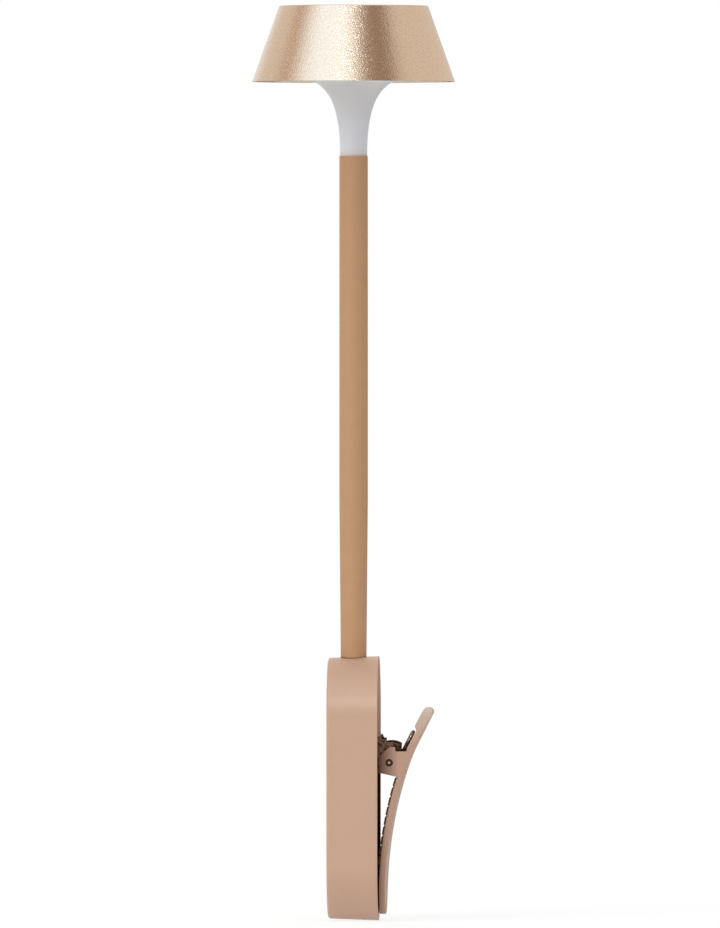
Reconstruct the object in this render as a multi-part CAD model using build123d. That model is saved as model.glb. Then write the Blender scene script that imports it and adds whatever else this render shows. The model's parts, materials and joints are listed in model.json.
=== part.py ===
from build123d import *
import math
import os

# Clip-on reading lamp, millimetres. The stem stands on Z, the clip is on the +X side,
# and Z = 0 is the lowest point of the housing's round lower end.

# Housing
BODY_HEIGHT = 88.1
BODY_WIDTH = 38.0
BODY_DEPTH = 16.9
SHELL_WALL = 1.8
FRONT_WALL = 1.8
FRONT_EDGE_RADIUS = 0.9
SHELL_DRAFT = 2.0
COVER_THICKNESS = 2.0
COVER_CLEARANCE = 0.1
BOSS_DIAMETER = 5.0
BOSS_SIDE = 12.6
BOSS_FROM_ENDS = 13.6
SCREW_DIAMETER = 2.0
SCREW_HEAD_DIAMETER = 3.8
SCREW_LENGTH = 8.0
SCREW_SLOT_WIDTH = 0.6
SCREW_SLOT_DEPTH = 0.6
SCREW_SLOT_LENGTH = 2.3

# Push button and switch
BUTTON_HEIGHT_Z = 60.0
BUTTON_DIAMETER = 12.0
BUTTON_CLEARANCE = 0.15
BUTTON_FLANGE = 1.2
BUTTON_FLANGE_THICKNESS = 1.0
BUTTON_DISH_DEPTH = 0.5
BUTTON_DISH_DIAMETER = 10.7
BUTTON_TRAVEL = 0.5
BUTTON_SEAT = 0.05
PLUNGER_DIAMETER = 3.3
PLUNGER_CLEARANCE = 0.1
PLUNGER_LENGTH = 2.0
SWITCH_SIZE = 6.0
SWITCH_DEPTH = 3.1
SWITCH_CORNER = 0.5

# Board, cell and charging socket
BOARD_WIDTH = 19.0
BOARD_THICKNESS = 1.2
BOARD_FRONT_X = -0.9
BOARD_BOTTOM_Z = 5.2
BOARD_TOP_Z = 68.0
BOARD_CORNER = 1.0
BOARD_TAB_MARGIN = 2.0
BOARD_WALL_CLEARANCE = 0.5
TAPE_THICKNESS = 0.6
TAPE_WIDTH = 15.2
TAPE_LENGTH = 32.0
CELL_WIDTH = 28.0
CELL_THICKNESS = 4.4
CELL_BOTTOM_Z = 19.0
CELL_LENGTH = 40.0
CELL_EDGE_RADIUS = 1.3
SOCKET_WIDTH = 8.9
SOCKET_DEPTH = 3.2
SOCKET_LENGTH = 7.3
SOCKET_WALL = 0.35
SOCKET_Z = 30.0
SOCKET_RECESS = 0.8
SOCKET_CLEARANCE = 0.2
SOCKET_END_FLAT = 0.2
TONGUE_WIDTH = 6.2
TONGUE_THICKNESS = 0.7
TONGUE_SETBACK = 0.6

# Clip: pin, bracket, lever
PIN_FROM_COVER = 3.92
PIN_Z = 53.05
PIN_DIAMETER = 2.4
PIN_PROUD = 0.25
PIN_CHAMFER = 0.2
PIN_DIMPLE_DIAMETER = 1.1
PIN_DIMPLE_DEPTH = 0.6
PIN_RUNNING_CLEARANCE = 0.05
PIN_PRESS_CLEARANCE = 0.01
LEVER_WIDTH = 32.0
LEVER_THICKNESS = 2.1
LEVER_FOOT_Z = 2.15
LEVER_FOOT_GAP = 0.4
LEVER_FOOT_FLAT = 5.8
LEVER_COIL_CLEARANCE = 1.0
LEVER_FINGER_RADIUS = 60.0
LEVER_FINGER_SWEEP = 8.5
LEVER_TIP_RUN = 10.6
LEVER_FOOT_EDGE = 2.0
LEVER_TIP_EDGE = 8.0
LEVER_TIP_FLAT = 0.1
LEVER_EDGE_RADIUS = 0.35
FINGER_PAD_LENGTH = 7.5
FINGER_PAD_RAMP = 2.5
FINGER_PAD_HEIGHT = 1.25
EAR_LOW = 3.4
EAR_LOW_SLOPE = 13.0
EAR_REACH = 3.2
EAR_SHOULDER = 2.2
EAR_TOP = 5.2
EAR_TOP_RUN = 2.0
EAR_NOTCH_DEPTH = 1.5
EAR_CORNER = 0.5
BRACKET_SHEET = 1.2
BRACKET_BASE_SHEET = 0.8
BRACKET_SIDE_CLEARANCE = 0.25
BRACKET_BASE_BELOW = 3.45
BRACKET_BASE_ABOVE = 8.8
BRACKET_ARCH_RADIUS = 6.7
BRACKET_ARCH_RIGHT = 30.0
BRACKET_ARCH_LEFT = 18.5
BRACKET_LOBE_RADIUS = 3.2
RIVET_SIDE = 2.9
RIVET_RISE = 4.2
RIVET_DROP = 1.6
RIVET_DIAMETER = 2.0
RIVET_HEAD_DIAMETER = 3.6
RIVET_HEAD = 0.8
RIVET_HEAD_RADIUS = 0.55
RIVET_TAIL_DIAMETER = 3.3

# Rubber jaw faces
PAD_THICKNESS = 0.8
PAD_WIDTH = 28.0
PAD_BOTTOM_Z = 4.6
PAD_TOP_Z = 49.0
PAD_CLEARANCE = 0.05
PAD_FOOT_EDGE = 1.0
PAD_TOP_CORNER = 1.5
GRIP_INLAY = 0.6
GRIP_EDGE = 0.8
GRIP_LENGTH = 46.6
RIB_HEIGHT = 0.6
RIB_WIDTH = 2.85
RIB_PITCH = 3.3
RIB_START = 17.0
RIB_EDGE_RADIUS = 0.35

# Double torsion spring
WIRE_DIAMETER = 1.3
COIL_TURNS = 3
COIL_PITCH = 1.95
COIL_BRACKET_CLEARANCE = 0.2
COIL_EAR_GAP = 0.8
SPRING_LEG_RISE = 7.6
SPRING_BAR_FROM_TIP = 8.3
SPRING_LEVER_CLEARANCE = 0.35
SPRING_BEND_RADIUS = 2.0

# Gooseneck
STEM_DIAMETER = 9.5
STEM_FOOT_DIAMETER = 8.6
TAPER_TOP_Z = 140.0
STEM_TOP_Z = 254.75
STEM_SEAT_DEPTH = 4.0
STEM_SEAT_CLEARANCE = 0.15
HINGE_COUNT = 8
HINGE_END_RUN = 10.0
NECK_GAP = 0.2
CORE_DIAMETER = 6.2
CORE_BORE = 3.4
CORE_CLEARANCE = 0.05
LEAD_DIAMETER = 1.1
LEAD_SPACING = 1.3
LEAD_BEND = 2.5
LEAD_REACH = 8.0
LEAD_END_GAP = 0.1

# Fittings of the gooseneck
FERRULE_DIAMETER = 5.6
FERRULE_COLLAR_DIAMETER = 8.2
FERRULE_COLLAR = 1.5
FERRULE_RUN_OUT = 1.0
SEAT_FLOOR = 2.2
SEAT_BLOCK_WIDTH = 14.0
NUT_ACROSS_FLATS = 9.0
NUT_THICKNESS = 3.0
FIT_CLEARANCE = 0.05
THREAD_CLEARANCE = 0.01

# Head
SHADE_RIM_DIAMETER = 67.7
SHADE_TOP_DIAMETER = 49.7
SHADE_HEIGHT = 25.3
SHADE_RIM_Z = 279.55
SHADE_WALL = 2.0
SHADE_TOP_WALL = 3.0
SHADE_EDGE_RADIUS = 0.5
SHADE_BOSS_DIAMETER = 11.0
SHADE_BOSS_LENGTH = 3.0
DISC_RECESS = 0.5
DISC_THICKNESS = 2.0
DISC_DIAMETER = 62.8
DISC_CLEARANCE = 0.1
THROAT_FOOT_DIAMETER = 9.1
THROAT_MOUTH_DIAMETER = 35.0
THROAT_EXPONENT = 2.5
THROAT_FLARE_SHARE = 0.93
THROAT_LIP = 4.2
POST_DIAMETER = 5.0
POST_SLOT_HEIGHT = 5.0
POST_SLOT_CLEARANCE = 0.2
BOARD_RING_OUTER = 42.0
BOARD_RING_INNER = 12.0
BOARD_RING_THICKNESS = 1.6
LED_COUNT = 12
LED_CIRCLE_DIAMETER = 26.0
LED_LENGTH = 3.5
LED_WIDTH = 2.8
LED_HEIGHT = 0.8
BOARD_SCREW_COUNT = 3
BOARD_SCREW_CIRCLE_DIAMETER = 36.0
BOARD_SCREW_HEAD_DIAMETER = 3.6
BOARD_SCREW_HEAD_HEIGHT = 1.2
BOARD_SCREW_HEAD_RADIUS = 0.6
BOARD_SCREW_BITE = 2.0

# Places worked out from the sizes above
FRONT_X = -BODY_DEPTH / 2
BACK_X = BODY_DEPTH / 2
COVER_X = BACK_X - COVER_THICKNESS
SIDE_Y = BODY_WIDTH / 2
BODY_MID_Z = BODY_HEIGHT / 2
PIN_X = BACK_X + PIN_FROM_COVER
SEAT_Z = BODY_HEIGHT - STEM_SEAT_DEPTH
SLEEVE_FOOT_Z = SEAT_Z + FERRULE_COLLAR
NUT_TOP_Z = SEAT_Z - SEAT_FLOOR
FIRST_HINGE_Z = BODY_HEIGHT + HINGE_END_RUN
HINGE_STEP = (STEM_TOP_Z - HINGE_END_RUN - FIRST_HINGE_Z) / (HINGE_COUNT - 1)
HINGES_Z = [FIRST_HINGE_Z + HINGE_STEP * i for i in range(HINGE_COUNT)]
SHADE_TOP_Z = SHADE_RIM_Z + SHADE_HEIGHT
SHADE_CEILING_Z = SHADE_TOP_Z - SHADE_TOP_WALL
BOSS_END_Z = SHADE_CEILING_Z - SHADE_BOSS_LENGTH
LED_BOARD_Z = SHADE_CEILING_Z - BOARD_RING_THICKNESS
DISC_Z = SHADE_RIM_Z + DISC_RECESS
EAR_INNER_Y = LEVER_WIDTH / 2 - LEVER_THICKNESS
BRACKET_Y = EAR_INNER_Y - BRACKET_SIDE_CLEARANCE
BRACKET_BASE_X = BACK_X + BRACKET_BASE_SHEET
LEVER_INNER_X = BACK_X + LEVER_FOOT_GAP
LEVER_ARC_Z = LEVER_FOOT_Z + LEVER_FOOT_FLAT
COIL_RADIUS = PIN_FROM_COVER - BRACKET_BASE_SHEET - COIL_BRACKET_CLEARANCE - WIRE_DIAMETER / 2
PIN_TO_LEVER = COIL_RADIUS + WIRE_DIAMETER / 2 + LEVER_COIL_CLEARANCE
PIN_ABOVE_ARC = PIN_Z - LEVER_ARC_Z
PIN_BESIDE_FOOT = PIN_X - LEVER_INNER_X
JAW_INNER_RADIUS = (PIN_BESIDE_FOOT**2 + PIN_ABOVE_ARC**2 - PIN_TO_LEVER**2) / (
    2 * (PIN_TO_LEVER + PIN_BESIDE_FOOT)
)
JAW_SWEEP = math.degrees(math.atan2(PIN_ABOVE_ARC, JAW_INNER_RADIUS - PIN_BESIDE_FOOT))
FINGER_INNER_RADIUS = LEVER_FINGER_RADIUS + LEVER_THICKNESS
RIB_COUNT = int((GRIP_LENGTH - RIB_START - RIB_WIDTH) / RIB_PITCH) + 1
BUTTON_STEM_X = FRONT_X + FRONT_WALL + BUTTON_SEAT + BUTTON_FLANGE_THICKNESS
SWITCH_TOP_X = BOARD_FRONT_X - SWITCH_DEPTH
LEAD_TURN_Z = BOSS_END_Z - POST_SLOT_HEIGHT / 2 - LEAD_DIAMETER / 2
RIM_RADIUS = SHADE_RIM_DIAMETER / 2
TOP_RADIUS = SHADE_TOP_DIAMETER / 2
SHADE_SLOPE = (RIM_RADIUS - TOP_RADIUS) / SHADE_HEIGHT
COVER_SCREW_SPOTS = [
    (side * BOSS_SIDE, z)
    for side in (-1, 1)
    for z in (BOSS_FROM_ENDS, BODY_HEIGHT - BOSS_FROM_ENDS)
]
RIVET_SPOTS = [
    (-RIVET_SIDE, PIN_Z + RIVET_RISE),
    (RIVET_SIDE, PIN_Z + RIVET_RISE),
    (0, PIN_Z - RIVET_DROP),
]


def along_x(sketch, start, end):
    """Extrude a sketch drawn in (y, z) from x = start to x = end."""
    return extrude(Plane.YZ.offset(start) * sketch, end - start)


def across_y(sketch, width):
    """Extrude a sketch drawn in (x, z) evenly to both sides of the middle plane."""
    return extrude(Plane.XZ * sketch, width / 2, both=True)


def turned(*edges):
    """Revolve a closed outline of edges, drawn in (radius, z), about the stem's axis."""
    return revolve(Plane.XZ * make_face(edges), Axis.Z)


def lathe(*points):
    """Revolve a closed outline of (radius, z) points about the stem's axis."""
    return revolve(Plane.XZ * make_face(Polyline(*points, close=True)), Axis.Z)


def along_y(sketch, start, end):
    """Extrude a sketch drawn in (x, z) from y = start to y = end."""
    return extrude(Plane.XZ.offset(-start) * sketch, start - end)


def rod_x(radius, start, end, y, z):
    """A round rod along X at (y, z)."""
    return along_x(Pos(y, z) * Circle(radius), start, end)


def rod_y(radius, start, end, x, z):
    """A round rod along Y at (x, z)."""
    return along_y(Pos(x, z) * Circle(radius), start, end)


def stadium(inset):
    """The housing's outline, drawn in (y, z), inset by a wall."""
    outline = SlotOverall(BODY_HEIGHT - 2 * inset, BODY_WIDTH - 2 * inset, rotation=90)
    return Pos(0, BODY_MID_Z) * outline


def group(solids):
    """Separate like pieces, kept in one node."""
    return Compound(children=list(solids))


# Housing pieces


def socket_slot(clearance):
    """The charging socket's outline in (x, z), rounded at its two ends."""
    width = SOCKET_WIDTH + 2 * clearance
    depth = SOCKET_DEPTH + 2 * clearance
    slot = RectangleRounded(depth, width, (depth - SOCKET_END_FLAT) / 2)
    return Pos(BOARD_FRONT_X - SOCKET_DEPTH / 2, SOCKET_Z) * slot


def make_front_shell():
    """Rim and front face in one, with four screw bosses and the stem's seat."""
    back = Plane.YZ.offset(BACK_X) * stadium(0)
    shell = extrude(back, BODY_DEPTH, dir=(-1, 0, 0), taper=SHELL_DRAFT)
    shell = fillet(shell.edges().group_by(Axis.X)[0], FRONT_EDGE_RADIUS)
    shell -= along_x(stadium(SHELL_WALL), FRONT_X + FRONT_WALL, BACK_X)
    block = Box(
        COVER_X - FRONT_X - FRONT_WALL,
        SEAT_BLOCK_WIDTH,
        BODY_HEIGHT - SHELL_WALL - NUT_TOP_Z,
        align=(Align.MIN, Align.CENTER, Align.MIN),
    )
    shell += Pos(FRONT_X + FRONT_WALL, 0, NUT_TOP_Z) * block & along_x(
        stadium(SHELL_WALL / 2), FRONT_X, BACK_X
    )
    for y, z in COVER_SCREW_SPOTS:
        shell += rod_x(BOSS_DIAMETER / 2, FRONT_X + FRONT_WALL / 2, COVER_X, y, z)
    for y, z in COVER_SCREW_SPOTS:
        shell -= rod_x(SCREW_DIAMETER / 2, BACK_X - SCREW_LENGTH - FRONT_WALL, COVER_X, y, z)
    seat = STEM_FOOT_DIAMETER / 2 + STEM_SEAT_CLEARANCE
    shell -= Pos(0, 0, SEAT_Z) * extrude(Circle(seat), STEM_SEAT_DEPTH)
    shell -= Pos(0, 0, NUT_TOP_Z) * extrude(Circle(FERRULE_DIAMETER / 2 + FIT_CLEARANCE), SEAT_FLOOR)
    shell -= rod_x(
        BUTTON_DIAMETER / 2 + BUTTON_CLEARANCE, FRONT_X, FRONT_X + FRONT_WALL, 0, BUTTON_HEIGHT_Z
    )
    shell -= along_y(socket_slot(SOCKET_CLEARANCE), SIDE_Y - 2 * SHELL_WALL, SIDE_Y)
    return shell


def pad_outline(clearance):
    """The fixed jaw's inlay in (y, z), round at its lower end like the housing."""
    width = PAD_WIDTH + 2 * clearance
    height = PAD_TOP_Z - PAD_BOTTOM_Z + 2 * clearance
    panel = Pos(0, (PAD_TOP_Z + PAD_BOTTOM_Z) / 2) * Rectangle(width, height)
    rows = panel.vertices().group_by(Axis.Y)
    panel = fillet(rows[0], (width - PAD_FOOT_EDGE) / 2)
    return fillet(panel.vertices().group_by(Axis.Y)[-1], PAD_TOP_CORNER)


def make_back_cover():
    """Flush cover with countersunk holes, rivet holes and the inlay's recess."""
    cover = along_x(stadium(SHELL_WALL + COVER_CLEARANCE), COVER_X, BACK_X)
    for y, z in COVER_SCREW_SPOTS:
        cover -= screw_form(y, z, FIT_CLEARANCE)
    for y, z in RIVET_SPOTS:
        cover -= rod_x(RIVET_DIAMETER / 2 + FIT_CLEARANCE, COVER_X, BACK_X, y, z)
    return cover - along_x(pad_outline(PAD_CLEARANCE), BACK_X - PAD_THICKNESS, BACK_X)


def screw_top(z):
    """How deep a cover screw's head lies: under the inlay, or flush with the cover."""
    return BACK_X - PAD_THICKNESS if PAD_BOTTOM_Z < z < PAD_TOP_Z else BACK_X


def screw_form(y, z, clearance):
    """A countersunk screw's body along X, grown by a clearance."""
    top = screw_top(z)
    head = SCREW_HEAD_DIAMETER / 2 + clearance
    shank = SCREW_DIAMETER / 2 + clearance
    cone = Solid.make_cone(shank, head, head - shank)
    cone = Pos(top - (head - shank), y, z) * Rot(0, 90, 0) * cone
    return cone + rod_x(shank, BACK_X - SCREW_LENGTH, top - (head - shank) / 2, y, z)


def make_cover_screws():
    """Four countersunk screws with a cross slot."""
    screws = []
    for y, z in COVER_SCREW_SPOTS:
        screw = screw_form(y, z, 0)
        slot = Box(SCREW_SLOT_DEPTH * 2, SCREW_SLOT_WIDTH, SCREW_SLOT_LENGTH)
        for turn in (0, 90):
            screw -= Pos(screw_top(z), y, z) * Rot(turn, 0, 0) * slot
        screws.append(screw)
    return group(screws)


def make_jaw_pad():
    """Flush rubber inlay in the cover."""
    return along_x(pad_outline(0), BACK_X - PAD_THICKNESS, BACK_X)


def make_power_button():
    """Round button, dished for the fingertip, kept in by a flange behind the front wall."""
    flange_x = FRONT_X + FRONT_WALL + BUTTON_SEAT
    radius = BUTTON_DIAMETER / 2
    button = rod_x(radius, FRONT_X, flange_x, 0, BUTTON_HEIGHT_Z)
    button += rod_x(radius + BUTTON_FLANGE, flange_x, BUTTON_STEM_X, 0, BUTTON_HEIGHT_Z)
    dish_radius = ((BUTTON_DISH_DIAMETER / 2) ** 2 + BUTTON_DISH_DEPTH**2) / (2 * BUTTON_DISH_DEPTH)
    dish = Pos(FRONT_X - dish_radius + BUTTON_DISH_DEPTH, 0, BUTTON_HEIGHT_Z) * Sphere(dish_radius)
    return button - dish


def make_switch_plunger():
    """The switch's plunger, which the button rests on."""
    end = BUTTON_STEM_X + PLUNGER_LENGTH
    return rod_x(PLUNGER_DIAMETER / 2, BUTTON_STEM_X, end, 0, BUTTON_HEIGHT_Z)


def make_tact_switch():
    """Switch body on the board, with the plunger's well."""
    outline = Pos(0, BUTTON_HEIGHT_Z) * RectangleRounded(SWITCH_SIZE, SWITCH_SIZE, SWITCH_CORNER)
    switch = along_x(outline, SWITCH_TOP_X, BOARD_FRONT_X)
    well = BUTTON_STEM_X + PLUNGER_LENGTH + BUTTON_TRAVEL + PLUNGER_CLEARANCE
    well_radius = PLUNGER_DIAMETER / 2 + PLUNGER_CLEARANCE
    return switch - rod_x(well_radius, SWITCH_TOP_X, well, 0, BUTTON_HEIGHT_Z)


def make_control_board():
    """Circuit board along the middle of the housing, with a tab that carries the socket."""
    height = BOARD_TOP_Z - BOARD_BOTTOM_Z
    outline = Pos(0, BOARD_BOTTOM_Z + height / 2) * RectangleRounded(BOARD_WIDTH, height, BOARD_CORNER)
    reach = SIDE_Y - SHELL_WALL - BOARD_WALL_CLEARANCE
    outline += Pos(reach / 2, SOCKET_Z) * Rectangle(reach, SOCKET_WIDTH + 2 * BOARD_TAB_MARGIN)
    return along_x(outline, BOARD_FRONT_X, BOARD_FRONT_X + BOARD_THICKNESS)


def make_battery_tape():
    """Foam tape between the board and the cell."""
    back = BOARD_FRONT_X + BOARD_THICKNESS
    middle = CELL_BOTTOM_Z + CELL_LENGTH / 2
    outline = Pos(0, middle) * Rectangle(TAPE_WIDTH, TAPE_LENGTH)
    return along_x(outline, back, back + TAPE_THICKNESS)


def make_battery_cell():
    """Flat pouch cell behind the board."""
    start = BOARD_FRONT_X + BOARD_THICKNESS + TAPE_THICKNESS
    middle = CELL_BOTTOM_Z + CELL_LENGTH / 2
    cell = along_x(Pos(0, middle) * Rectangle(CELL_WIDTH, CELL_LENGTH), start, start + CELL_THICKNESS)
    return fillet(cell.edges().filter_by(Axis.Z), CELL_EDGE_RADIUS)


def make_usb_socket():
    """Charging socket in the housing's far side: an open metal mouth with its contact tongue."""
    mouth = SIDE_Y - SOCKET_RECESS
    floor = mouth - SOCKET_LENGTH + SOCKET_DEPTH / 2
    socket = along_y(socket_slot(0), mouth - SOCKET_LENGTH, mouth)
    socket -= along_y(socket_slot(-SOCKET_WALL), floor, mouth)
    tongue = Pos(BOARD_FRONT_X - SOCKET_DEPTH / 2, SOCKET_Z) * Rectangle(TONGUE_THICKNESS, TONGUE_WIDTH)
    return socket + along_y(tongue, floor, mouth - TONGUE_SETBACK)


# Clip pieces


def lever_face(depth):
    """One long face of the lever in (x, z): straight foot, jaw arc, finger arc, straight tip.

    depth is how far the face lies behind the inner one. The jaw arc starts upright on the foot
    and ends beside the pin, just clear of the coil."""
    x = LEVER_INNER_X + depth
    foot = Line((x, LEVER_FOOT_Z), (x, LEVER_ARC_Z))
    jaw = JernArc(foot @ 1, foot % 1, JAW_INNER_RADIUS - depth, -JAW_SWEEP)
    finger = JernArc(jaw @ 1, jaw % 1, FINGER_INNER_RADIUS - depth, -LEVER_FINGER_SWEEP)
    tip = Line(finger @ 1, finger @ 1 + LEVER_TIP_RUN * (finger % 1))
    return foot, jaw, finger, tip


def lever_plan(inset, top_z):
    """The lever seen from the side it is pressed on, in (y, z), inset from its edge."""
    width = LEVER_WIDTH - 2 * inset
    bottom = LEVER_FOOT_Z + inset
    panel = Pos(0, (bottom + top_z) / 2) * Rectangle(width, top_z - bottom)
    return fillet(panel.vertices().group_by(Axis.Y)[0], (LEVER_WIDTH - LEVER_FOOT_EDGE) / 2 - inset)


def half_round(start, end, way):
    """A half round in (x, z) from one point to another, which bulges along a way."""
    crown = (start + end) * 0.5 + way * ((end - start).length / 2)
    return ThreePointArc(start, crown, end)


def finger_pad():
    """Outline in (x, z) of the finger end, which swells inward and is thicker than the sheet."""
    inner, outer = lever_face(0)[3], lever_face(LEVER_THICKNESS)[3]
    way = inner % 1
    start = inner @ 1 - way * FINGER_PAD_LENGTH
    turn = 2 * math.degrees(math.atan(FINGER_PAD_HEIGHT / FINGER_PAD_RAMP))
    radius = FINGER_PAD_RAMP / (2 * math.sin(math.radians(turn)))
    swell = JernArc(start, way, radius, turn)
    settle = JernArc(swell @ 1, swell % 1, radius, -turn)
    flat = Line(settle @ 1, settle @ 1 + (FINGER_PAD_LENGTH - FINGER_PAD_RAMP) * way)
    cap = half_round(flat @ 1, outer @ 1, way)
    closing = Polyline(outer @ 1, outer @ 1 - way * FINGER_PAD_LENGTH, start)
    return make_face([swell, settle, flat, cap, *closing.edges()])


def sheet_rim(sheet, side):
    """Edges round the sheet's outer face (side 1) or inner face (side -1).

    The seams that cross the face between its foot, arcs and tip are left out."""
    faces = [face for face in sheet.faces() if side * face.normal_at(face.center()).X > 0.5]
    edges = [edge for face in faces for edge in face.edges()]
    seams = [
        edge
        for edge in ShapeList(edges).filter_by(Axis.Y)
        if (edge @ 0.5).Z > LEVER_FOOT_Z + LEVER_EDGE_RADIUS
    ]
    return [edge for edge in edges if edge not in seams]


def lever_outlines():
    """The lever's two lengths in (x, z): the even sheet, and the thicker finger end on top of it."""
    stop = 1 - FINGER_PAD_LENGTH / LEVER_TIP_RUN
    faces = [lever_face(LEVER_THICKNESS), lever_face(0)]
    outer, inner = [[*face[:3], Line(face[3] @ 0, face[3] @ stop)] for face in faces]
    toe, end = Line(inner[0] @ 0, outer[0] @ 0), Line(inner[3] @ 1, outer[3] @ 1)
    return make_face([*outer, end, *inner, toe]), finger_pad()


def lever_sheet():
    """The curved lever without its ears, rounded in plan at foot and finger end and along its rims."""
    sheet, pad = [across_y(outline, LEVER_WIDTH) for outline in lever_outlines()]
    plan = lever_plan(0, pad.bounding_box().max.Z - LEVER_TIP_FLAT)
    plan = fillet(plan.vertices().group_by(Axis.Y)[-1], (LEVER_WIDTH - LEVER_TIP_EDGE) / 2)
    lengths = [solid & along_x(plan, BACK_X, BACK_X + BODY_HEIGHT) for solid in (sheet, pad)]
    for side in (1, -1):
        lengths = [solid.fillet(LEVER_EDGE_RADIUS, sheet_rim(solid, side)) for solid in lengths]
    return lengths[0] + lengths[1]


def ear_outline():
    """A lever ear in (x, z) about the pin, with the notch beside the sheet."""
    x, z = PIN_X, PIN_Z
    root = x + PIN_TO_LEVER + EAR_TOP
    drop = (root - x + EAR_REACH) * math.tan(math.radians(EAR_LOW_SLOPE))
    points = [
        (x - EAR_REACH, z - EAR_LOW),
        (root, z - EAR_LOW - drop),
        (root, z + EAR_TOP - EAR_NOTCH_DEPTH),
        (x + EAR_TOP_RUN, z + EAR_TOP - EAR_NOTCH_DEPTH),
        (x + EAR_TOP_RUN, z + EAR_TOP),
        (x, z + EAR_TOP),
        (x - EAR_REACH, z + EAR_SHOULDER),
    ]
    ear = make_face(Polyline(*points, close=True))
    free = [v for v in ear.vertices() if v.X < x + PIN_TO_LEVER]
    return fillet(free, EAR_CORNER)


def beyond_lever():
    """All that lies past the middle of the sheet, on the side the thumb presses, in (x, z)."""
    middle = lever_face(LEVER_THICKNESS / 2)
    foot, top = middle[0] @ 0, middle[3] @ 1
    far = top.X + BODY_DEPTH
    closing = Polyline((top.X, top.Y), (far, top.Y), (far, foot.Y), (foot.X, foot.Y))
    return make_face([*middle, *closing.edges()])


def make_clip_lever():
    """Curved lever with two ears on the pin and the grip's recess."""
    lever = lever_sheet()
    between_ears = Pos(PIN_X, 0, PIN_Z) * Box(BODY_HEIGHT, 2 * EAR_INNER_Y, BODY_HEIGHT)
    ears = across_y(ear_outline(), LEVER_WIDTH) - between_ears
    lever += ears - across_y(beyond_lever(), LEVER_WIDTH)
    hole = PIN_DIAMETER / 2 + PIN_RUNNING_CLEARANCE
    lever -= rod_y(hole, -LEVER_WIDTH, LEVER_WIDTH, PIN_X, PIN_Z)
    return lever - grip_inlay()


def grip_edge():
    """What lies inside the grip's edge, seen from the jaw."""
    return along_x(lever_plan(GRIP_EDGE, BODY_HEIGHT), BACK_X, BACK_X + BODY_HEIGHT)


def grip_inlay():
    """The flush layer of the grip, let into the lever's inner face along its foot and jaw."""
    sweep_angle = math.degrees((GRIP_LENGTH - LEVER_FOOT_FLAT) / JAW_INNER_RADIUS)
    faces = []
    for depth in (0, GRIP_INLAY):
        foot = lever_face(depth)[0]
        faces.append((foot, JernArc(foot @ 1, foot % 1, JAW_INNER_RADIUS - depth, -sweep_angle)))
    (near_foot, near), (deep_foot, deep) = faces
    ends = [Line(near_foot @ 0, deep_foot @ 0), Line(near @ 1, deep @ 1)]
    band = make_face([near_foot, near, ends[1], deep, deep_foot, ends[0]])
    return across_y(band, LEVER_WIDTH) & grip_edge()


def make_lever_grip():
    """Ribbed rubber face of the moving jaw: ribs follow its foot, then its arc."""
    grip = grip_inlay()
    bar = Box(RIB_HEIGHT * 2, LEVER_WIDTH, RIB_WIDTH)
    bar = fillet(bar.edges().filter_by(Axis.Y).group_by(Axis.X)[0], RIB_EDGE_RADIUS)
    centre = Axis((LEVER_INNER_X + JAW_INNER_RADIUS, 0, LEVER_ARC_Z), (0, 1, 0))
    for i in range(RIB_COUNT):
        along = RIB_START + RIB_WIDTH / 2 + RIB_PITCH * i
        on_foot = min(along, LEVER_FOOT_FLAT)
        turn = math.degrees((along - on_foot) / JAW_INNER_RADIUS)
        rib = (Pos(LEVER_INNER_X, 0, LEVER_FOOT_Z + on_foot) * bar).rotate(centre, turn)
        grip += rib & grip_edge()
    return grip


def bracket_ear():
    """A bracket ear in (x, z): foot on the cover, lobe under the pin, arch over it."""

    def polar(radius, degrees):
        turn = math.radians(degrees)
        return (PIN_X + radius * math.sin(turn), PIN_Z + radius * math.cos(turn))

    low, high = PIN_Z - BRACKET_BASE_BELOW, PIN_Z + BRACKET_BASE_ABOVE
    lobe_r, arch_r = BRACKET_LOBE_RADIUS, BRACKET_ARCH_RADIUS
    lobe = ThreePointArc(polar(lobe_r, 180), polar(lobe_r, 135), polar(lobe_r, 90))
    arch_start, arch_end = polar(arch_r, BRACKET_ARCH_RIGHT), polar(arch_r, -BRACKET_ARCH_LEFT)
    arch = ThreePointArc(arch_start, polar(arch_r, 0), arch_end)
    rise = Line(lobe @ 1, arch @ 0)
    foot = Polyline(
        arch @ 1, (BRACKET_BASE_X, high), (BACK_X, high), (BACK_X, low), (BRACKET_BASE_X, low), lobe @ 0
    )
    return make_face([lobe, rise, arch, *foot.edges()])


def make_clip_bracket():
    """Stamped bracket: a base plate with two arched ears."""
    ears = across_y(bracket_ear(), 2 * BRACKET_Y)
    inside = 2 * (BRACKET_Y - BRACKET_SHEET)
    tall = BODY_HEIGHT
    hollow = Pos(BRACKET_BASE_X + tall / 2, 0, PIN_Z) * Box(tall, inside, tall)
    bracket = ears - hollow
    bracket -= rod_y(PIN_DIAMETER / 2 + PIN_PRESS_CLEARANCE, -LEVER_WIDTH, LEVER_WIDTH, PIN_X, PIN_Z)
    for y, z in RIVET_SPOTS:
        bracket -= rod_x(RIVET_DIAMETER / 2 + FIT_CLEARANCE, BACK_X, BRACKET_BASE_X, y, z)
    return bracket


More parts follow.
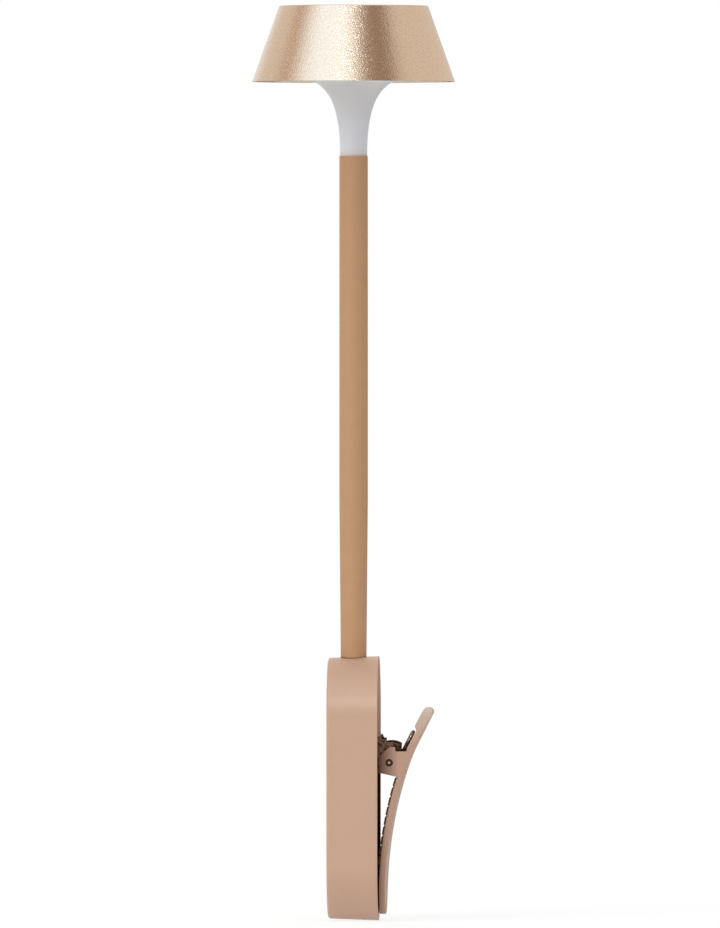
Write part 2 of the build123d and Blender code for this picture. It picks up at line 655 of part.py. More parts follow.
def make_bracket_rivets():
    """Three rivets through the base plate and the cover."""
    rivets = []
    for y, z in RIVET_SPOTS:
        rivet = rod_x(RIVET_DIAMETER / 2, COVER_X, BRACKET_BASE_X, y, z)
        head = rod_x(RIVET_HEAD_DIAMETER / 2, BRACKET_BASE_X, BRACKET_BASE_X + RIVET_HEAD, y, z)
        rivet += fillet(head.edges().group_by(Axis.X)[-1], RIVET_HEAD_RADIUS)
        rivets.append(rivet + rod_x(RIVET_TAIL_DIAMETER / 2, COVER_X - RIVET_HEAD, COVER_X, y, z))
    return group(rivets)


def make_hinge_pin():
    """Pin through all four ears, its ends dimpled."""
    end = LEVER_WIDTH / 2 + PIN_PROUD
    pin = rod_y(PIN_DIAMETER / 2, -end, end, PIN_X, PIN_Z)
    pin = chamfer(pin.edges(), PIN_CHAMFER)
    for side in (-1, 1):
        low, high = sorted((side * (end - PIN_DIMPLE_DEPTH), side * end))
        pin -= rod_y(PIN_DIMPLE_DIAMETER / 2, low, high, PIN_X, PIN_Z)
    return pin


def biarc(start, start_way, end, end_way):
    """Two tangent arcs from one point and direction to another."""
    span = end - start
    both = start_way + end_way
    spread = 2 * (1 - start_way.dot(end_way))
    if spread < 1e-9:
        return [Line(start, end)]
    along = span.dot(both)
    reach = (-along + math.sqrt(along**2 + spread * span.dot(span))) / spread
    join = (start + start_way * reach + end - end_way * reach) * 0.5
    first = TangentArc(start, join, tangent=start_way)
    return [first, TangentArc(join, end, tangent=first % 1)]


def coil_point(turn, y):
    """A point of the coil at a turn in degrees, 0 on the lever side, 90 on top."""
    rad = math.radians(turn)
    return Vector(PIN_X + COIL_RADIUS * math.cos(rad), y, PIN_Z + COIL_RADIUS * math.sin(rad))


def spring_bar_point():
    """Middle of the spring's bar in (x, z): on the lever's straight end, just clear of it."""
    tip = lever_face(0)[3]
    way = tip % 1
    inward = Vector(-way.Y, way.X)
    return tip @ 1 - way * SPRING_BAR_FROM_TIP + inward * (SPRING_LEVER_CLEARANCE + WIRE_DIAMETER / 2)


def spring_half():
    """One half of the spring's path: leg on the bracket, coil, leg up the lever to its bar."""
    outer_y = -(BRACKET_Y - BRACKET_SHEET - COIL_EAR_GAP - WIRE_DIAMETER / 2)
    bar = spring_bar_point()
    reach = bar - Vector(PIN_X, PIN_Z)
    aim = math.degrees(math.atan2(reach.Y, reach.X))
    leave = aim - math.degrees(math.acos(COIL_RADIUS / reach.length))
    start_turn, end_turn = 180.0, 360.0 * (COIL_TURNS + 1) + leave
    quarters = round((end_turn - start_turn) / 90)
    step = (end_turn - start_turn) / quarters
    rise = COIL_PITCH * step / 360
    slope = COIL_PITCH / (2 * math.pi * COIL_RADIUS)

    def way(turn, tilt):
        rad = math.radians(turn)
        return Vector(-math.sin(rad), tilt, math.cos(rad)).normalized()

    foot = coil_point(start_turn, outer_y)
    path = [Line(foot + Vector(0, 0, SPRING_LEG_RISE), foot)]
    for i in range(quarters):
        here, there = start_turn + step * i, start_turn + step * (i + 1)
        tilt_here = 0 if i == 0 else slope
        tilt_there = 0 if i == quarters - 1 else slope
        path += biarc(
            coil_point(here, outer_y + rise * i),
            way(here, tilt_here),
            coil_point(there, outer_y + rise * (i + 1)),
            way(there, tilt_there),
        )
    leg_start = coil_point(end_turn, outer_y + rise * quarters)
    leg_way = way(end_turn, 0)
    corner = Vector(bar.X, leg_start.Y, bar.Y)
    bend_start = corner - leg_way * SPRING_BEND_RADIUS
    bend_end = corner + Vector(0, SPRING_BEND_RADIUS, 0)
    path += [Line(leg_start, bend_start), TangentArc(bend_start, bend_end, tangent=leg_way)]
    path.append(Line(bend_end, Vector(bar.X, 0, bar.Y)))
    return path


def spring_path():
    """The whole path, mirrored at the middle of the bar."""
    half = spring_half()
    other = [edge.mirror(Plane.XZ) for edge in half]
    return half, other


def print_spring_gap(edges):
    """Measure the least gap between turns on points along the path, and print it."""
    points = []
    travelled = 0.0
    for edge in edges:
        count = max(2, int(edge.length / 0.25))
        points += [(travelled + edge.length * i / count, edge @ (i / count)) for i in range(count)]
        travelled += edge.length
    least = min(
        (a - b).length
        for i, (s, a) in enumerate(points)
        for t, b in points[i + 1 :]
        if t - s > 4 * WIRE_DIAMETER
    )
    print("least gap between spring turns", round(least - WIRE_DIAMETER, 3))


def make_clip_spring():
    """Double torsion spring, one unbroken wire."""
    half, other = spring_path()
    print_spring_gap(half)
    wire = Wire(half + list(reversed(other)))
    start = wire @ 0
    section = Plane(origin=start, z_dir=wire % 0) * Circle(WIRE_DIAMETER / 2)
    return sweep(section, path=wire)


# Gooseneck pieces


def stem_radius(z):
    """The sleeve's radius, which narrows evenly from the taper's top to the housing."""
    share = min(1.0, max(0.0, (z - BODY_HEIGHT) / (TAPER_TOP_Z - BODY_HEIGHT)))
    return (STEM_FOOT_DIAMETER + (STEM_DIAMETER - STEM_FOOT_DIAMETER) * share) / 2


def end_curve(end, first, last):
    """The end of a neck length from one radius to another: flat at z, or part of a ball."""
    z, ball = end

    def point(radius):
        return (radius, z + (math.sqrt(ball**2 - radius**2) if ball else 0.0))

    if not ball:
        return Line(point(first), point(last))
    return ThreePointArc(point(first), point((first + last) / 2), point(last))


def neck_length(inner, outer_low, outer_high, low, high):
    """A ring-shaped length of the neck between two ends."""
    floor = end_curve(low, inner, outer_low)
    roof = end_curve(high, outer_high, inner)
    wall = Line(floor @ 1, roof @ 0)
    bore = Line(roof @ 1, floor @ 0)
    return turned(floor, wall, roof, bore)


def neck_ends(index):
    """Lower and upper end of a neck length: a cup over one hinge, a ball under the next."""
    low, high = (SLEEVE_FOOT_Z, 0), (STEM_TOP_Z, 0)
    if index > 0:
        low = (HINGES_Z[index - 1], stem_radius(HINGES_Z[index - 1]) + NECK_GAP)
    if index < HINGE_COUNT:
        high = (HINGES_Z[index], stem_radius(HINGES_Z[index]))
    return low, high


def make_neck_sleeve(index):
    """One length of the silicone sleeve."""
    low, high = neck_ends(index)
    bore = CORE_DIAMETER / 2 + CORE_CLEARANCE
    return neck_length(bore, stem_radius(low[0]), stem_radius(high[0]), low, high)


def make_neck_core(index):
    """One length of the metal hose inside the sleeve."""
    low, high = neck_ends(index)
    return neck_length(CORE_BORE / 2, CORE_DIAMETER / 2, CORE_DIAMETER / 2, low, high)


def make_neck_ferrule():
    """Threaded fitting with a collar that carries the hose and the sleeve."""
    bore, thread = CORE_BORE / 2, FERRULE_DIAMETER / 2
    collar = FERRULE_COLLAR_DIAMETER / 2
    low = NUT_TOP_Z - NUT_THICKNESS - FERRULE_RUN_OUT
    return lathe(
        (bore, low),
        (thread, low),
        (thread, SEAT_Z),
        (collar, SEAT_Z),
        (collar, SLEEVE_FOOT_Z),
        (bore, SLEEVE_FOOT_Z),
    )


def make_neck_nut():
    """Hexagon nut that clamps the ferrule to the shell."""
    hexagon = RegularPolygon(NUT_ACROSS_FLATS / 2, 6, major_radius=False)
    hexagon -= Circle(FERRULE_DIAMETER / 2 + THREAD_CLEARANCE)
    return Pos(0, 0, NUT_TOP_Z - NUT_THICKNESS) * extrude(hexagon, NUT_THICKNESS)


def make_lamp_leads():
    """Two leads from the board up the neck, out of the post's slot and up to the LED board."""
    leads = []
    for side in (-1, 1):
        y = side * LEAD_SPACING / 2
        start = Vector(0, y, BOARD_TOP_Z + LEAD_END_GAP)
        up = Line(start, Vector(0, y, LEAD_TURN_Z - LEAD_BEND))
        out = TangentArc(up @ 1, Vector(0, y + side * LEAD_BEND, LEAD_TURN_Z), tangent=up % 1)
        across = Line(out @ 1, Vector(0, side * LEAD_REACH, LEAD_TURN_Z))
        turn_end = Vector(0, side * (LEAD_REACH + LEAD_BEND), LEAD_TURN_Z + LEAD_BEND)
        turn = TangentArc(across @ 1, turn_end, tangent=across % 1)
        rise = Line(turn @ 1, Vector(0, turn_end.Y, LED_BOARD_Z - LEAD_END_GAP))
        path = Wire([up, out, across, turn, rise])
        section = Plane(origin=start, z_dir=(0, 0, 1)) * Circle(LEAD_DIAMETER / 2)
        leads.append(sweep(section, path=path))
    return group(leads)


# Head pieces


def shade_inner_radius(z):
    """The shade's inner radius at height z, a wall behind its sloping side."""
    return RIM_RADIUS - SHADE_SLOPE * (z - SHADE_RIM_Z) - SHADE_WALL * math.hypot(1, SHADE_SLOPE)


def make_lamp_shade():
    """Turned shade: sloping side, flat top, boss for the post and the diffuser's seat."""
    seat_z = DISC_Z + DISC_THICKNESS
    seat = DISC_DIAMETER / 2 + DISC_CLEARANCE
    post = POST_DIAMETER / 2 + FIT_CLEARANCE
    boss = SHADE_BOSS_DIAMETER / 2
    hole_top = SHADE_CEILING_Z + SHADE_TOP_WALL / 2
    shade = lathe(
        (0, SHADE_TOP_Z),
        (TOP_RADIUS, SHADE_TOP_Z),
        (RIM_RADIUS, SHADE_RIM_Z),
        (seat, SHADE_RIM_Z),
        (seat, seat_z),
        (shade_inner_radius(seat_z), seat_z),
        (shade_inner_radius(SHADE_CEILING_Z), SHADE_CEILING_Z),
        (boss, SHADE_CEILING_Z),
        (boss, BOSS_END_Z),
        (post, BOSS_END_Z),
        (post, hole_top),
        (0, hole_top),
    )
    shade = fillet(shade.edges().group_by(Axis.Z)[-1], SHADE_EDGE_RADIUS)
    for spot in PolarLocations(BOARD_SCREW_CIRCLE_DIAMETER / 2, BOARD_SCREW_COUNT):
        hole = extrude(Circle(SCREW_DIAMETER / 2), BOARD_SCREW_BITE)
        shade -= spot * Pos(0, 0, SHADE_CEILING_Z) * hole
    return shade


def throat_point(share):
    """A point of the throat's outer face at a share of its height: a superellipse quarter."""
    foot, mouth = THROAT_FOOT_DIAMETER / 2, THROAT_MOUTH_DIAMETER / 2
    radius = mouth - (mouth - foot) * (1 - share**THROAT_EXPONENT) ** (1 / THROAT_EXPONENT)
    return (radius, STEM_TOP_Z + (DISC_Z - STEM_TOP_Z) * share)


def make_diffuser():
    """Frosted trumpet that flares into the disc which closes the shade."""
    points = [throat_point(share) for share in (0, 0.35, 0.6, 0.8, THROAT_FLARE_SHARE, 1)]
    outer = Spline(*points, tangents=[(0, 1), (1, 0)])
    disc = DISC_DIAMETER / 2
    top = DISC_Z + DISC_THICKNESS
    bore = CORE_DIAMETER / 2 + CORE_CLEARANCE
    inner_mouth = (throat_point(THROAT_FLARE_SHARE)[0] + THROAT_LIP, top)
    inner = Spline(inner_mouth, (bore, throat_point(0.55)[1]), tangents=[(-1, 0), (0, -1)])
    edge = Polyline(outer @ 1, (disc, DISC_Z), (disc, top), inner_mouth)
    foot = Polyline(inner @ 1, (bore, STEM_TOP_Z), outer @ 0)
    return turned(outer, *edge.edges(), inner, *foot.edges())


def make_head_post():
    """Threaded tube from the hose through the diffuser into the shade's boss, with lead slot."""
    bore, thread = CORE_BORE / 2, POST_DIAMETER / 2
    collar = CORE_DIAMETER / 2
    shoulder = STEM_TOP_Z + HINGE_END_RUN
    post = lathe(
        (bore, STEM_TOP_Z),
        (collar, STEM_TOP_Z),
        (collar, shoulder),
        (thread, shoulder),
        (thread, SHADE_CEILING_Z),
        (bore, SHADE_CEILING_Z),
    )
    slot = Box(LEAD_DIAMETER + 2 * POST_SLOT_CLEARANCE, POST_DIAMETER * 2, POST_SLOT_HEIGHT)
    return post - Pos(0, 0, BOSS_END_Z - POST_SLOT_HEIGHT / 2) * slot


def make_led_board():
    """Ring-shaped board under the shade's top."""
    ring = Circle(BOARD_RING_OUTER / 2) - Circle(BOARD_RING_INNER / 2)
    for spot in PolarLocations(BOARD_SCREW_CIRCLE_DIAMETER / 2, BOARD_SCREW_COUNT):
        ring -= spot * Circle(SCREW_DIAMETER / 2 + FIT_CLEARANCE)
    return Pos(0, 0, LED_BOARD_Z) * extrude(ring, BOARD_RING_THICKNESS)


def make_leds():
    """A ring of LEDs under the board."""
    chip = Pos(0, 0, LED_BOARD_Z - LED_HEIGHT / 2) * Box(LED_WIDTH, LED_LENGTH, LED_HEIGHT)
    half_step = 180 / LED_COUNT
    return group(spot * chip for spot in PolarLocations(LED_CIRCLE_DIAMETER / 2, LED_COUNT, half_step))


def make_board_screws():
    """Pan-head screws that hold the board to the shade."""
    screws = []
    for spot in PolarLocations(BOARD_SCREW_CIRCLE_DIAMETER / 2, BOARD_SCREW_COUNT):
        head_z = LED_BOARD_Z - BOARD_SCREW_HEAD_HEIGHT
        head = Pos(0, 0, head_z) * extrude(Circle(BOARD_SCREW_HEAD_DIAMETER / 2), BOARD_SCREW_HEAD_HEIGHT)
        head = fillet(head.edges().group_by(Axis.Z)[0], BOARD_SCREW_HEAD_RADIUS)
        length = BOARD_RING_THICKNESS + BOARD_SCREW_BITE
        shank = Pos(0, 0, LED_BOARD_Z) * extrude(Circle(SCREW_DIAMETER / 2 - FIT_CLEARANCE), length)
        screws.append(spot * (head + shank))
    return group(screws)


PIECES = {
    "front_shell": make_front_shell,
    "back_cover": make_back_cover,
    "cover_screws": make_cover_screws,
    "jaw_pad": make_jaw_pad,
    "power_button": make_power_button,
    "switch_plunger": make_switch_plunger,
    "tact_switch": make_tact_switch,
    "control_board": make_control_board,
    "battery_tape": make_battery_tape,
    "battery_cell": make_battery_cell,
    "usb_socket": make_usb_socket,
    "clip_bracket": make_clip_bracket,
    "bracket_rivets": make_bracket_rivets,
    "hinge_pin": make_hinge_pin,
    "clip_spring": make_clip_spring,
    "clip_lever": make_clip_lever,
    "lever_grip": make_lever_grip,
    "neck_ferrule": make_neck_ferrule,
    "neck_nut": make_neck_nut,
    "lamp_leads": make_lamp_leads,
    "lamp_shade": make_lamp_shade,
    "diffuser": make_diffuser,
    "head_post": make_head_post,
    "led_board": make_led_board,
    "leds": make_leds,
    "board_screws": make_board_screws,
}

os.makedirs("parts", exist_ok=True)
for name, make in PIECES.items():
    export_step(make(), f"parts/{name}.step")
for index in range(HINGE_COUNT + 1):
    export_step(make_neck_sleeve(index), f"parts/neck_sleeve_{index}.step")
    export_step(make_neck_core(index), f"parts/neck_core_{index}.step")
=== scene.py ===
import json
import math

import bpy
import numpy as np
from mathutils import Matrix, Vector


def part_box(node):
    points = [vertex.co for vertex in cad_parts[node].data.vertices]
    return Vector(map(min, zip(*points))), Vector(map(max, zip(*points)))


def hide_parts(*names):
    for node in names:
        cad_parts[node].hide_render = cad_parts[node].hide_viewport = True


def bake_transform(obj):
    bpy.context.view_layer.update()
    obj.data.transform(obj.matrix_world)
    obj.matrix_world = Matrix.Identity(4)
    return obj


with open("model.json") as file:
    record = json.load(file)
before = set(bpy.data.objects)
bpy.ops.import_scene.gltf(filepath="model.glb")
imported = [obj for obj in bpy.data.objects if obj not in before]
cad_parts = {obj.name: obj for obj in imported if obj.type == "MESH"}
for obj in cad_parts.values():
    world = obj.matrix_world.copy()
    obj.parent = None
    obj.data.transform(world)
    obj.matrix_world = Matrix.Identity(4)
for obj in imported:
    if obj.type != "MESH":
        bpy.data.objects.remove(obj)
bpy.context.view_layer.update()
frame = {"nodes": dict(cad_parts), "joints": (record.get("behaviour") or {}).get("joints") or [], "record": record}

MM = 0.001

# Places read from the frame, in metres.
JOINTS = {joint["name"]: joint for joint in frame["joints"]}
NECK_JOINTS = [joint for joint in frame["joints"] if joint["name"].startswith("neck_")]
HINGE_Z = [joint["pos_m"][2] for joint in NECK_JOINTS]
PIN_X, _, PIN_Z = JOINTS["lever_pivot"]["pos_m"]
HOUSING_TOP_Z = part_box("front_shell")[1][2]
HOUSING_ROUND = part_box("front_shell")[1][1]
SLEEVE_FOOT_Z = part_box("neck_sleeve_0")[0][2]
SLEEVE_TOP_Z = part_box("neck_sleeve_8")[1][2]
SHADE_RIM_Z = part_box("lamp_shade")[0][2]

# Gooseneck, in metres.
STEM_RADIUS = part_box("neck_sleeve_4")[1][0]
STEM_FOOT_RADIUS = 4.3 * MM
TAPER_TOP_Z = 140.0 * MM
SLEEVE_PLAY = 0.05 * MM
SLEEVE_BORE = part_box("neck_core_4")[1][0] + SLEEVE_PLAY

# Leads, in metres.
LEAD_RADIUS = 0.55 * MM
LEAD_SIDE = 0.65 * MM
LEAD_BEND = 2.5 * MM
LEAD_LOW, LEAD_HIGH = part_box("lamp_leads")
LEAD_REACH = LEAD_HIGH[1] - LEAD_RADIUS
LEAD_TURN_RISE = 16.25 * MM
LEAD_TURN_Z = SHADE_RIM_Z + LEAD_TURN_RISE

# Clip spring, in metres. At its ends the coil eases in and out over a share of its length, where
# it climbs at no less than a share of its even rate.
WIRE_RADIUS = 0.65 * MM
SPRING_LOW, SPRING_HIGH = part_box("clip_spring")
COIL_RADIUS = PIN_X - SPRING_LOW[0] - WIRE_RADIUS
COIL_OUTER_Y = SPRING_HIGH[1] - WIRE_RADIUS
COIL_PITCH = 1.95 * MM
COIL_TURNS = 3
COIL_EASE = 0.07
LEAST_CLIMB = 0.02
SPRING_LEG_RISE = 7.6 * MM
SPRING_BEND = 2.0 * MM
BAR_X, BAR_Z = SPRING_HIGH[0] - WIRE_RADIUS, SPRING_HIGH[2] - WIRE_RADIUS

# Points in the meshes of the pieces that bend, round them and along each stretch, and the angle
# from which an edge shows sharp.
AROUND = 96
LEAD_AROUND = 12
WIRE_AROUND = 20
SLEEVE_RINGS = 33
LEAD_RINGS = 25
COIL_RINGS = 48
BEND_RINGS = 13
LEG_RINGS = 12
BAR_RINGS = 8
SHARP_ANGLE = math.radians(60)


# Shader arithmetic


class Socket:
    """A shader socket that takes part in arithmetic: each operator adds one Math node."""

    def __init__(self, tree, socket):
        self.tree, self.socket = tree, socket

    @staticmethod
    def node(tree, kind, settings=(), inputs=(), out=0):
        """Add a node: its settings first, then its sockets from values or links."""
        made = tree.nodes.new(kind)
        for key, value in dict(settings).items():
            setattr(made, key, value)
        for key, value in dict(inputs).items():
            if isinstance(value, Socket):
                tree.links.new(value.socket, made.inputs[key])
            else:
                made.inputs[key].default_value = value
        return Socket(tree, made.outputs[out]) if made.outputs else made

    def math(self, operation, first, second):
        """One Math node over two sockets or numbers."""
        return Socket.node(self.tree, "ShaderNodeMath", {"operation": operation}, {0: first, 1: second})

    def __add__(self, other):
        return self.math("ADD", self, other)

    __radd__ = __add__

    def __sub__(self, other):
        return self.math("SUBTRACT", self, other)

    def __rsub__(self, other):
        return self.math("SUBTRACT", other, self)

    def __mul__(self, other):
        return self.math("MULTIPLY", self, other)

    __rmul__ = __mul__

    def __truediv__(self, other):
        return self.math("DIVIDE", self, other)

    def __pow__(self, other):
        return self.math("POWER", self, other)

    def clipped(self):
        """The value held between 0 and 1."""
        return Socket.node(self.tree, "ShaderNodeClamp", {}, {"Value": self})

    def ramp(self, start, end):
        """A share that goes from 0 where the value is start to 1 where it is end."""
        return ((self - start) / (end - start)).clipped()


def linear(red, green, blue):
    """A colour as seen on a screen, 0 to 255, turned into linear light."""
    share = np.array([red, green, blue]) / 255.0
    light = np.where(share <= 0.04045, share / 12.92, ((share + 0.055) / 1.055) ** 2.4)
    return (*map(float, light), 1.0)


def new_tree(name):
    """A new material and its empty node tree."""
    material = bpy.data.materials.new(name)
    material.use_nodes = True
    material.node_tree.nodes.clear()
    return material, material.node_tree


def place(tree):
    """Object coordinates, in metres."""
    return Socket.node(tree, "ShaderNodeTexCoord", out="Object")


def along(tree, axis):
    """The Object coordinate along X, Y or Z, in metres."""
    return Socket.node(tree, "ShaderNodeSeparateXYZ", {}, {"Vector": place(tree)}, out=axis)


def from_axis(tree, point, across):
    """Distance from an axis through a point, in metres.

    across holds 1 for each direction square to the axis, and 0 for the axis itself."""
    kind = "ShaderNodeVectorMath"
    offset = Socket.node(tree, kind, {"operation": "SUBTRACT"}, {0: place(tree), 1: point})
    flat = Socket.node(tree, kind, {"operation": "MULTIPLY"}, {0: offset, 1: across})
    return Socket.node(tree, kind, {"operation": "LENGTH"}, {0: flat}, out="Value")


def noise(tree, scale, detail, rough=0.5):
    """Noise on Object coordinates, scale in cycles per metre."""
    inputs = {"Vector": place(tree), "Scale": scale, "Detail": detail, "Roughness": rough}
    return Socket.node(tree, "ShaderNodeTexNoise", {}, inputs)


def mix_colour(tree, factor, first, second):
    """A colour between two, by a factor over the surface."""
    settings, inputs = {"data_type": "RGBA"}, {0: factor, 6: first, 7: second}
    return Socket.node(tree, "ShaderNodeMix", settings, inputs, out=2)


def bump(tree, relief, depth):
    """The normal of a relief of 0 to 1 that is a depth in metres high."""
    inputs = {"Height": relief, "Distance": depth, "Strength": 1.0}
    return Socket.node(tree, "ShaderNodeBump", {}, inputs)


PRINCIPLED = {
    "base": "Base Color", "rough": "Roughness", "metal": "Metallic", "normal": "Normal",
    "specular": "Specular IOR Level", "scatter": "Subsurface Weight",
    "scatter_scale": "Subsurface Scale", "scatter_radius": "Subsurface Radius",
}


def surface(tree, **sockets):
    """A Principled surface with sockets given by short names, joined to the output."""
    inputs = {PRINCIPLED[key]: value for key, value in sockets.items()}
    shader = Socket.node(tree, "ShaderNodeBsdfPrincipled", {}, inputs)
    Socket.node(tree, "ShaderNodeOutputMaterial", {}, {"Surface": shader})


# Finishes


def blasted_champagne():
    """Bead-blasted, anodised aluminium: a warm metal whose fine dimples glint one by one."""
    material, tree = new_tree("blasted_champagne")
    dimples = noise(tree, 2400, detail=1)
    flecks = noise(tree, 3100, detail=1)
    tone = (dimples * 2.4 - 0.7).clipped()
    colour = mix_colour(tree, tone, linear(218, 197, 176), linear(234, 214, 194))
    relief = bump(tree, dimples, 0.08 * MM)
    surface(tree, base=colour, metal=1.0, rough=0.2 + 0.06 * flecks, normal=relief)
    return material


def satin_coat(tree, dark, light):
    """Satin paint: its colour with a faint mottle, and its fine grain."""
    mottle = noise(tree, 90, detail=3, rough=0.6)
    grain = noise(tree, 2800, detail=2, rough=0.6)
    colour = mix_colour(tree, (mottle * 0.75 + grain * 0.25).clipped(), dark, light)
    return colour, grain


def satin_surface(tree, colour, grain, rough):
    """A satin surface of a colour, with the paint's grain in its gloss and its relief."""
    relief = bump(tree, grain, 0.02 * MM)
    surface(tree, base=colour, rough=rough + 0.1 * grain, specular=0.5, normal=relief)


def housing_paint():
    """Satin paint on the housing's mouldings."""
    material, tree = new_tree("satin_housing")
    colour, grain = satin_coat(tree, linear(189, 153, 130), linear(197, 161, 137))
    satin_surface(tree, colour, grain, rough=0.34)
    return material


def lever_paint():
    """Satin paint, with painted shade towards the housing at the ears and the foot, and a painted highlight at the
    finger end.

    Each change of colour is placed by its distance from the pin."""
    material, tree = new_tree("satin_lever")
    paint, grain = satin_coat(tree, linear(173, 137, 115), linear(182, 147, 125))
    across, height = along(tree, "X"), along(tree, "Z")
    # Painted shade: darker towards the housing round the ears, and lower down across the foot.
    near = across.ramp(PIN_X + 3.0 * MM, PIN_X - 3.0 * MM)
    ears = height.ramp(PIN_Z - 8.0 * MM, PIN_Z - 5.0 * MM)
    foot = across.ramp(PIN_X - 0.6 * MM, PIN_X - 3.6 * MM) * 0.55
    painted_shade = mix_colour(tree, near * ears + foot * (1.0 - ears), paint, linear(90, 48, 22))
    # Painted highlight: paler towards the finger end.
    pale_share = height.ramp(PIN_Z + 9.0 * MM, PIN_Z + 17.0 * MM)
    colour = mix_colour(tree, pale_share * 0.8, painted_shade, linear(204, 186, 172))
    satin_surface(tree, colour, grain, rough=0.4)
    return material


def tan_silicone():
    """Smooth matt silicone with a faint mottle, and painted shadow in the seam round the housing's top."""
    material, tree = new_tree("tan_silicone")
    mottle = noise(tree, 260, detail=3, rough=0.6)
    fine = noise(tree, 5200, detail=1)
    plain = mix_colour(tree, mottle, linear(180, 137, 99), linear(188, 145, 107))
    # Painted shadow: darker in a thin band along the housing's rounded top, where the sleeve sits in it.
    above = from_axis(tree, (0, 0, HOUSING_TOP_Z - HOUSING_ROUND), (0, 1, 1)) - HOUSING_ROUND
    seam_shadow = above.ramp(0.35 * MM, -0.35 * MM) * 0.85
    colour = mix_colour(tree, seam_shadow, plain, linear(104, 70, 48))
    relief = bump(tree, fine, 0.008 * MM)
    surface(tree, base=colour, rough=0.5 + 0.1 * fine, specular=0.4, normal=relief)
    return material


def frosted_plastic():
    """Frosted plastic: light scatters into it. Painted shade darkens it towards the shade, and painted tan bounce
    light from the sleeve warms its foot.
    """
    material, tree = new_tree("frosted_plastic")
    mottle = noise(tree, 900, detail=2)
    above_foot = along(tree, "Z").ramp(SLEEVE_TOP_Z, SHADE_RIM_Z)
    # Painted shade: lighter and bluer at the foot, darker and warmer towards the shade above.
    tint = mix_colour(tree, above_foot, linear(218, 218, 225), linear(210, 208, 205))
    white = mix_colour(tree, mottle * 0.3, tint, linear(220, 220, 222))
    # Painted bounce light: tan from the sleeve, strongest at the foot.
    sleeve_bounce = above_foot.ramp(1 / 7, 0.0) ** 2.0 * 0.55
    colour = mix_colour(tree, sleeve_bounce, white, linear(206, 176, 146))
    relief = bump(tree, noise(tree, 6000, detail=1), 0.006 * MM)
    surface(tree, base=colour, rough=0.5 + 0.06 * mottle, specular=0.35, normal=relief,
            scatter=0.5, scatter_scale=3.0 * MM, scatter_radius=(1.0, 1.0, 1.0))
    return material


def dark_rubber():
    """Matt moulded rubber, dark brown."""
    material, tree = new_tree("dark_rubber")
    grain = noise(tree, 3000, detail=2, rough=0.6)
    colour = mix_colour(tree, grain, linear(96, 62, 46), linear(112, 78, 60))
    relief = bump(tree, grain, 0.03 * MM)
    surface(tree, base=colour, rough=0.7 + 0.2 * grain, specular=0.0, normal=relief)
    return material


def antique_bronze(name, dark, light, rough):
    """Bronze plating, lighter and smoother in random patches: wear, and painted glints."""
    material, tree = new_tree(name)
    wear = noise(tree, 700, detail=4, rough=0.65)
    # Random pale patches: part wear, part painted glints.
    pale_share = wear.ramp(0.425, 0.675)
    colour = mix_colour(tree, pale_share, dark, light)
    relief = bump(tree, wear, 0.02 * MM)
    surface(tree, base=colour, metal=0.85, rough=rough - 0.12 * pale_share, normal=relief)
    return material


def riveted_pin():
    """A bronze pin with a painted highlight in its middle inside a painted shadow ring, by distance from its axis.
    """
    material, tree = new_tree("riveted_pin")
    # Painted shadow in a ring round the pin's end, and a painted highlight in its middle.
    rim = from_axis(tree, (PIN_X, 0, PIN_Z), (1, 0, 1)).ramp(0.3 * MM, 0.55 * MM)
    wear = noise(tree, 1500, detail=2)
    painted_highlight = mix_colour(tree, wear, linear(176, 148, 128), linear(214, 192, 174))
    colour = mix_colour(tree, rim, painted_highlight, linear(68, 44, 32))
    relief = bump(tree, wear, 0.01 * MM)
    surface(tree, base=colour, metal=0.85, rough=0.28 + 0.1 * wear, normal=relief)
    return material


def plated(name, dark, light, rough):
    """Plated or turned metal with a fine mottle."""
    material, tree = new_tree(name)
    mottle = noise(tree, 1500, detail=3, rough=0.6)
    surface(tree, base=mix_colour(tree, mottle, dark, light), metal=1.0, rough=rough + 0.1 * mottle)
    return material


def moulded(name, dark, light, rough):
    """Moulded plastic, lacquer or foam with a faint mottle."""
    material, tree = new_tree(name)
    mottle = noise(tree, 800, detail=3, rough=0.6)
    colour = mix_colour(tree, mottle, dark, light)
    relief = bump(tree, mottle, 0.01 * MM)
    surface(tree, base=colour, rough=rough + 0.1 * mottle, normal=relief)
    return material


FINISHES = {
    "housing": housing_paint(),
    "lever_paint": lever_paint(),
    "champagne": blasted_champagne(),
    "frosted": frosted_plastic(),
    "silicone": tan_silicone(),
    "dark_rubber": dark_rubber(),
    "bronze": antique_bronze("antique_bronze", linear(48, 30, 21), linear(136, 102, 82), 0.38),
    "steel": plated("zinc_steel", linear(170, 170, 170), linear(205, 205, 205), 0.30),
    "brass": plated("turned_brass", linear(180, 142, 78), linear(212, 176, 108), 0.25),
    "board": moulded("green_board", linear(18, 70, 38), linear(26, 92, 50), 0.40),
    "white_board": moulded("white_board", linear(225, 225, 222), linear(238, 238, 235), 0.40),
    "black_plastic": moulded("black_plastic", linear(22, 22, 22), linear(34, 34, 34), 0.45),
    "cell_wrap": moulded("cell_wrap", linear(150, 154, 158), linear(176, 180, 184), 0.35),
    "foam": moulded("foam_tape", linear(44, 44, 44), linear(62, 62, 62), 0.85),
    "phosphor": moulded("phosphor", linear(228, 196, 92), linear(240, 214, 120), 0.50),
    "insulation": moulded("insulation", linear(170, 40, 36), linear(190, 52, 46), 0.50),
}
# The spring's pale light colour makes its patches stand as painted glints along the wire.
SPRING_FINISH = antique_bronze("spring_bronze", linear(88, 60, 45), linear(216, 192, 170), 0.30)
PIN_FINISH = riveted_pin()


